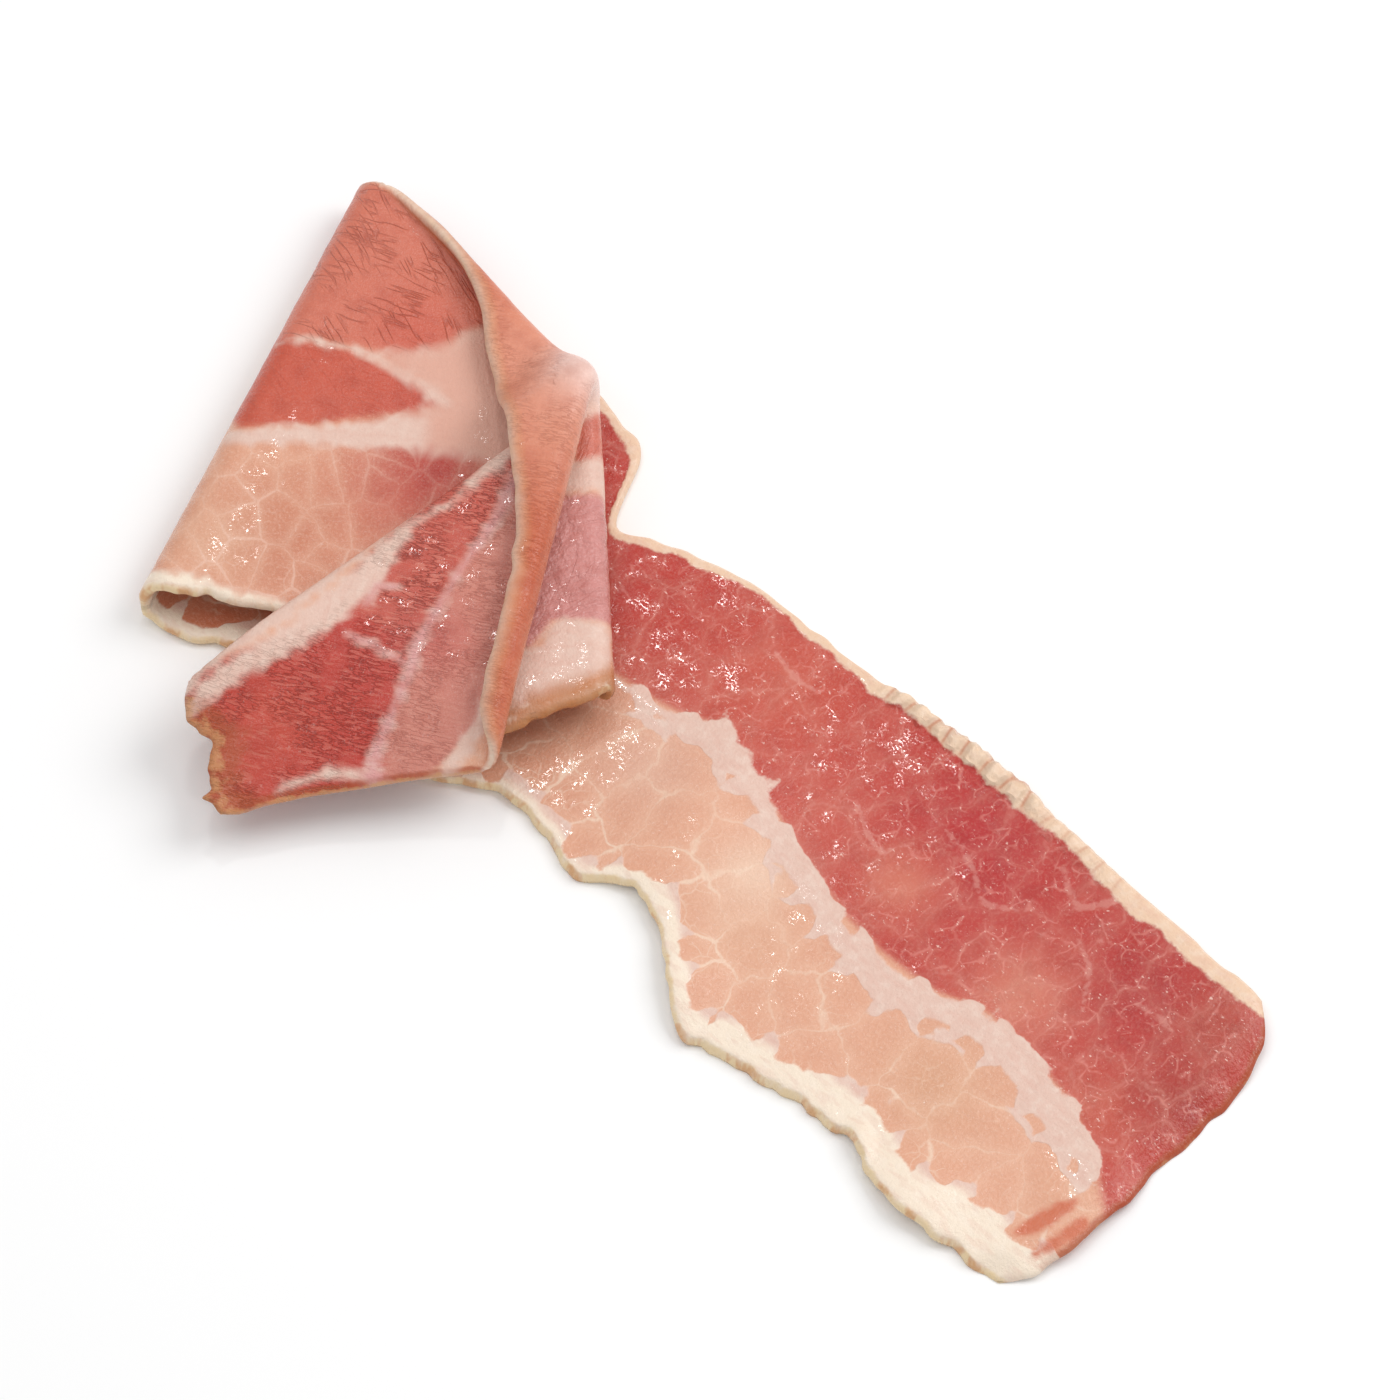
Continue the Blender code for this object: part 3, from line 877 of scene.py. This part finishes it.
def rasher():
    """The rasher as a fine closed sheet, with its marks stored on it."""
    grid, p, q = fine_rows()
    flat, inward, from_rim, from_belly = sheet(p, q)
    meat = Meat(flat, inward, from_rim, from_belly)
    mesh = closed_sheet(grid, skins(flat, meat))

    index = np.zeros(len(mesh.loops), np.int32)
    mesh.loops.foreach_get("vertex_index", index)
    place = np.concatenate([flat, flat])[index]
    place = (place - MAP_CORNER) / MAP_WIDE
    layer = mesh.uv_layers.new(name="flat")
    layer.data.foreach_set("uv", place.astype(np.float32).ravel())
    for name in MARKS:
        mark = mesh.attributes.new(name, "FLOAT", "POINT")
        mark.data.foreach_set("value", both(getattr(meat, name)))
    for name in TONES:
        color = np.ones((len(flat), 4))
        color[:, :3] = np.clip(getattr(meat, name), 0.0, 1.0)
        mark = mesh.color_attributes.new(name, "FLOAT_COLOR", "POINT")
        mark.data.foreach_set("color", both(color).ravel())
    return placed("rasher", mesh)


class Wire:
    """A value in a material, with arithmetic on it."""

    def __init__(self, finish, socket):
        self.finish = finish
        self.socket = socket

    def math(self, operation, *values):
        return self.finish.node("ShaderNodeMath", {"operation": operation},
                                dict(enumerate(values)))

    def __add__(self, other):
        return self.math("ADD", self, other)

    __radd__ = __add__

    def __sub__(self, other):
        return self.math("SUBTRACT", self, other)

    def __rsub__(self, other):
        return self.math("SUBTRACT", other, self)

    def __mul__(self, other):
        return self.math("MULTIPLY", self, other)

    __rmul__ = __mul__

    def __truediv__(self, other):
        return self.math("DIVIDE", self, other)

    def __abs__(self):
        return self.math("ABSOLUTE", self)

    def least(self, other):
        return self.math("MINIMUM", self, other)

    def most(self, other):
        return self.math("MAXIMUM", self, other)

    def step(self, low, high):
        """0 below low, 1 above high and a smooth rise in between."""
        return self.finish.node(
            "ShaderNodeMapRange", {"interpolation_type": "SMOOTHSTEP"},
            {"Value": self, "From Min": low, "From Max": high})


def linear(color):
    """A wire as it is, or a screen colour as a linear one."""
    return color if isinstance(color, Wire) else rgb(color)


class Finish:
    """A material under construction."""

    def __init__(self, name):
        self.material = bpy.data.materials.new(name)
        self.material.use_nodes = True
        self.tree = self.material.node_tree
        self.shader = self.tree.nodes["Principled BSDF"]

    def node(self, kind, settings=None, values=None, out=0):
        """A new node with its inputs fed, as a wire."""
        made = self.tree.nodes.new(kind)
        for name, value in (settings or {}).items():
            setattr(made, name, value)
        for name, value in (values or {}).items():
            self.feed(made.inputs[name], value)
        return Wire(self, made.outputs[out])

    def feed(self, socket, value):
        """Join a wire to a socket, or set the socket's value."""
        if isinstance(value, Wire):
            self.tree.links.new(value.socket, socket)
        elif hasattr(socket.default_value, "__len__"):
            size = len(socket.default_value)
            value = [float(v) for v in value]
            socket.default_value = (value + [1.0])[:size]
        else:
            socket.default_value = value

    def blend(self, share, first, second):
        """One colour over another."""
        return self.node("ShaderNodeMix",
                         {"data_type": "RGBA", "clamp_factor": True},
                         {0: share, 6: linear(first),
                          7: linear(second)}, 2)

    def mark(self, name):
        """A number that is stored on the mesh."""
        return self.node("ShaderNodeAttribute", {"attribute_name": name}, out=2)

    def paint(self, name):
        """A colour that is stored on the mesh."""
        return self.node("ShaderNodeAttribute", {"attribute_name": name}, out=0)

    def noise(self, place, per_mm, detail=2.0, rough=0.55):
        """Cloudy noise on the flat sheet."""
        return self.node("ShaderNodeTexNoise", {"noise_dimensions": "2D"},
                         {"Vector": place, "Scale": per_mm,
                          "Detail": detail, "Roughness": rough})

    def cell_edges(self, place, per_mm, uneven):
        """Distance to the nearest border of a net of cells."""
        return self.node("ShaderNodeTexVoronoi",
                         {"voronoi_dimensions": "2D",
                          "feature": "DISTANCE_TO_EDGE"},
                         {"Vector": place, "Scale": per_mm,
                          "Randomness": uneven})

    def scaled(self, place, factors):
        """A place with each of its numbers multiplied."""
        return self.vector("MULTIPLY", {0: place, 1: factors})

    def vector(self, operation, values):
        """A sum or product of places."""
        return self.node("ShaderNodeVectorMath", {"operation": operation}, values)


class RawBacon(Finish):
    """Raw bacon: lean meat with a net of fat, borders, rind and gloss."""

    def __init__(self):
        super().__init__("raw_bacon")
        uv = self.node("ShaderNodeUVMap", {"uv_map": "flat"})
        self.place = self.scaled(uv, (MAP_WIDE, MAP_WIDE, 0.0))
        for name in ("cells", "folded", "grain", "wrinkle", "soft"):
            setattr(self, name, self.mark(name))
        for name, row in NOISES.items():
            setattr(self, name, self.noise(self.place, *row))
        self.crisp = 1.0 - self.soft
        self.wobble = self.wobble - 0.5
        self.fine = self.fine - 0.5
        self.marbling()
        self.borders()
        self.lean_color()
        self.lean_grain()
        self.wrinkles()
        self.flecks()
        self.fat_color()
        self.rim_beads()
        self.rind_color()
        self.dry_ends()
        self.feed(self.shader.inputs["Base Color"], self.color)
        self.gloss()
        self.relief()

    def lay(self, share, tone):
        """Lay a colour over what is there."""
        self.color = self.blend(share, self.color, tone)

    def stretched(self, factors, rough=0.55):
        """A noise that is finer one way than the other."""
        return self.noise(self.scaled(self.place, factors), 1.0, 2.0, rough)

    def marbling(self):
        """A net of fat lines around cells of lean, and a finer web."""
        shift = self.node("ShaderNodeTexNoise", {"noise_dimensions": "2D"},
                          {"Vector": self.place, "Scale": 0.3,
                           "Detail": 1.5}, 1)
        far = SHIFT_FAR - SHIFT_LESS_ON_FOLD * self.folded
        shift = self.vector("SCALE", {0: shift, "Scale": far})
        long_cells = self.scaled(self.place, (1.0, 0.8, 0.0))
        bent = self.vector("ADD", {0: long_cells, 1: shift})
        per_mm = CELLS_FINE + CELLS_FINER_ON_FOLD * self.folded
        self.net = self.cell_edges(bent, per_mm, 0.9)
        small = self.cell_edges(bent, SMALL_CELLS_FINE, 1.0)
        patchy = self.patchy
        wide = 0.016 + 0.022 * patchy.step(0.4, 0.7)
        lines = 1.0 - (self.net / wide).step(0.1, 1.7)
        self.lines = lines * (0.4 + 0.6 * patchy.step(0.4, 0.62))
        threads = 1.0 - small.step(0.008, 0.07)
        self.threads = threads * patchy.step(0.45, 0.65)
        self.web = (1.0 - small.step(0.0, 0.1)) * self.wet.step(0.4, 0.62)
        self.halo = 1.0 - self.net.step(0.0, 0.3)

    def borders(self):
        """How much fat covers the lean, lobed where the cells meet it."""
        lobes = self.mark("lobes")
        lobe = (1.0 - self.net.step(0.0, 0.26)) * 2.6 * lobes
        gap = self.mark("fat") + self.wobble * (1.1 - 0.6 * self.grain)
        gap = gap + self.fine * 0.35 * self.crisp
        gap = gap + 0.3 + 0.35 * lobes - lobe
        self.fat = 1.0 - (gap / (0.3 + 1.5 * self.soft)).step(-1.0, 1.0)
        gap = self.mark("seams") + self.wobble * 1.1 + self.fine * 0.5
        self.seam = 1.0 - gap.step(-0.1, 0.35)

    def lean_color(self):
        """Lean meat: mottled, gritty, and paler beside the net of fat."""
        tone = self.paint("tone")
        cells = self.cells
        self.dark = self.node(
            "ShaderNodeMix", {"data_type": "RGBA", "blend_type": "MULTIPLY"},
            {0: 1.0, 6: tone, 7: DARKER}, 2)
        self.pale = self.blend(0.5, tone, NET_PALE)
        self.color = tone
        self.lay(self.mottle.step(0.42, 0.72) * (0.42 - 0.32 * cells), self.dark)
        self.lay(self.grit.step(0.48, 0.72) * (0.05 + 0.37 * cells), self.pale)
        self.lay(self.halo * cells * 0.34, self.pale)
        self.lay(self.web * self.mark("web") * 0.46, WEB_PINK)

    def lean_grain(self):
        """The grain of the muscles, as ridges across them."""
        hatch = self.stretched(HATCH_FINE)
        ridge = 1.0 - abs(hatch - 0.5).step(0.0, 0.06)
        self.ridge = ridge * self.patchy.step(0.36, 0.52)
        grain = self.grain
        self.lay(grain * self.ridge * 0.6, GRAIN_DARK)
        self.lay(grain * hatch.step(0.52, 0.66) * 0.2, self.dark)
        self.lay(grain * (1.0 - hatch.step(0.33, 0.45)) * 0.2, self.pale)
        self.hatch = hatch

    def creases(self, turn, shift):
        """Thin lines that run one way."""
        turned = self.node("ShaderNodeMapping", {"vector_type": "POINT"},
                           {"Vector": self.place,
                            "Location": (shift, 0.0, 0.0),
                            "Rotation": (0.0, 0.0, turn)})
        waves = self.noise(self.scaled(turned, CREASE_FINE), 1.0, 2.0, 0.5)
        line = 1.0 - abs(waves - 0.5).step(0.0, 0.04)
        here = self.noise(turned, CREASE_PATCH_FINE, 1.0)
        return line * here.step(0.42, 0.58)

    def wrinkles(self):
        """Dark wrinkles that run two ways."""
        one, other = [self.creases(*row) for row in CREASE_TURNS]
        self.crease = one.most(other)
        self.lay(self.wrinkle * self.crease * 0.34, WRINKLE_DARK)

    def flecks(self):
        """Painted glints: small bright spots laid into the colour as highlights of a wet
        surface.
        """
        glint_spots = self.stretched(GLINT_SPOTS_FINE, 0.6)
        self.glint_spots = glint_spots.step(0.65, 0.75) * self.wet.step(0.42, 0.62)
        many = self.mark("fleck") * 0.85 + self.cells * 0.4
        many = (many + self.grain * 0.3).least(1.0)
        self.lay(self.glint_spots * many * 0.7, PAINTED_GLINT)

    def fat_color(self):
        """Fat and its net: creamy, faintly clouded and streaked."""
        fat = self.blend(self.cloud.step(0.42, 0.75) * 0.22 * self.crisp,
                         self.paint("fat_tone"), FAT_WHITE)
        pink = self.stretched(STREAK_FINE)
        fat = self.blend(pink.step(0.45, 0.7) * 0.2, fat, FAT_PINK)
        net = self.blend(self.cells.step(0.2, 0.8), NET_ON_RED, NET_ON_PEACH)
        net = self.blend(self.folded * 0.7, net, NET_ON_FOLD)
        share = (self.lines + self.threads * 0.4) * (self.mark("net") + 0.1)
        share = share.least(1.0) * (0.7 - 0.2 * self.folded)
        self.lay(share * self.cells.step(0.0, 0.25), net)
        self.lay(self.seam * 0.36, SEAM_PINK)
        self.lay(self.fat, fat)

    def rim_beads(self):
        """The pinched rim, with painted shade in the folds between its beads."""
        bead = self.cell_edges(self.scaled(self.place, BEAD_FINE), 1.0, 0.85)
        dome = bead.step(0.0, 0.35)
        fold = 1.0 - bead.step(0.0, 0.12)
        beaded = self.mark("beads")
        # Painted shade: the folds between the beads darkened
        self.lay(beaded * fold * self.fat * 0.75, BEAD_FOLD_SHADE)
        self.lay(beaded * dome * self.fat * 0.4, BEAD_TOP)
        self.domes = beaded * dome

    def rind_color(self):
        """Rind: yellow skin, browner in spots."""
        skin = self.blend(self.mottle.step(0.48, 0.62), RIND, RIND_SPOT)
        rind = self.mark("rind") + self.wobble * 0.8
        self.lay(rind.step(0.35, 1.0) * 0.85, skin)
        tan = self.mark("tan") * self.mottle.step(0.2, 0.46)
        self.lay(tan * 0.85, RIND_TAN)

    def dry_ends(self):
        """Dry dark ends with a pale edge, and a painted orange glow of light through the
        thin cut end.
        """
        dry = self.mark("dry")
        dark = (dry + self.wobble * 0.6).step(0.2, 0.8) * 0.75
        self.lay(dark * (1.0 - self.fat * 0.6), DRY)
        self.lay((dry + self.wobble * 0.9).step(0.95, 1.25) * 0.7, DRY_EDGE)
        # Painted glow: orange where light shines through the thin cut end
        glow = self.mark("glow") + self.wobble * 0.5
        self.lay(glow.step(0.25, 0.75) * 0.85, GLOW)

    def gloss(self):
        """Roughness, and a wet coat that lies in small sparks."""
        inputs = self.shader.inputs
        rough = 0.12 + 0.08 * self.fat + 0.2 * self.grit
        rough = rough + 0.12 * self.soft - 0.06 * self.glint_spots
        self.feed(inputs["Roughness"], rough)
        spark = self.stretched(SPARK_FINE, 0.6)
        spark = spark.step(0.54, 0.66) * self.wet.step(0.46, 0.64)
        self.feed(inputs["Coat Weight"], spark * (0.65 - 0.4 * self.soft))
        for name, value in GLOSS:
            inputs[name].default_value = value

    def relief(self):
        """Fine relief as bump."""
        height = (self.mottle * 0.06 + self.grit * 0.24
                  - self.halo * self.cells * 0.08
                  - self.crease * self.wrinkle * 0.26
                  - self.grain * self.ridge * 0.22 + self.fat * 0.1
                  + self.hatch * (0.08 + self.grain * 0.16)
                  + self.domes * 1.2 + self.mark("bumpy") * self.cloud * 0.8)
        bump = self.node("ShaderNodeBump", None,
                         {"Height": height, "Strength": 0.65,
                          "Distance": 0.0007})
        self.feed(self.shader.inputs["Normal"], bump)


def softbox(name, place, size, power):
    """A square lamp that looks at the middle of the table."""
    light = bpy.data.lights.new(name, "AREA")
    light.shape = "SQUARE"
    light.size = size
    light.energy = power
    lamp = placed(name, light)
    lamp.location = place
    aim = -lamp.location.normalized()
    lamp.rotation_euler = aim.to_track_quat("-Z", "Y").to_euler()


def stage():
    """White table, even light of the room, and softboxes."""
    bm = bmesh.new()
    bmesh.ops.create_grid(bm, x_segments=1, y_segments=1, size=1.6)
    table = placed("table", mesh_of("table", bm))
    f = Finish("white_table")
    f.shader.inputs["Base Color"].default_value = (0.97, 0.97, 0.97, 1.0)
    f.shader.inputs["Roughness"].default_value = 0.7
    table.data.materials.append(f.material)

    world = bpy.data.worlds.new("room")
    world.use_nodes = True
    sky = world.node_tree.nodes["Background"]
    sky.inputs["Color"].default_value = (1.0, 1.0, 1.0, 1.0)
    sky.inputs["Strength"].default_value = 0.6
    bpy.context.scene.world = world
    for row in SOFTBOXES:
        softbox(*row)


def camera():
    """The photo's camera."""
    lens = bpy.data.cameras.new("camera")
    lens.lens = 168.0
    lens.sensor_width = 36.0
    eye = placed("camera", lens)
    flat = AWAY * math.cos(RAISED_BY)
    offset = np.array([math.sin(TURNED_BY) * flat,
                       -math.cos(TURNED_BY) * flat,
                       AWAY * math.sin(RAISED_BY)])
    eye.location = tuple(TARGET + offset)
    aim = eye.location.copy()
    aim.x, aim.y, aim.z = (float(-v) for v in offset)
    eye.rotation_euler = aim.to_track_quat("-Z", "Y").to_euler()
    bpy.context.scene.camera = eye


bpy.context.scene.view_settings.view_transform = "Standard"
camera()
stage()
RASHER = rasher()
RASHER.data.materials.append(RawBacon().material)
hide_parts("bacon_rasher")
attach(RASHER, "root")
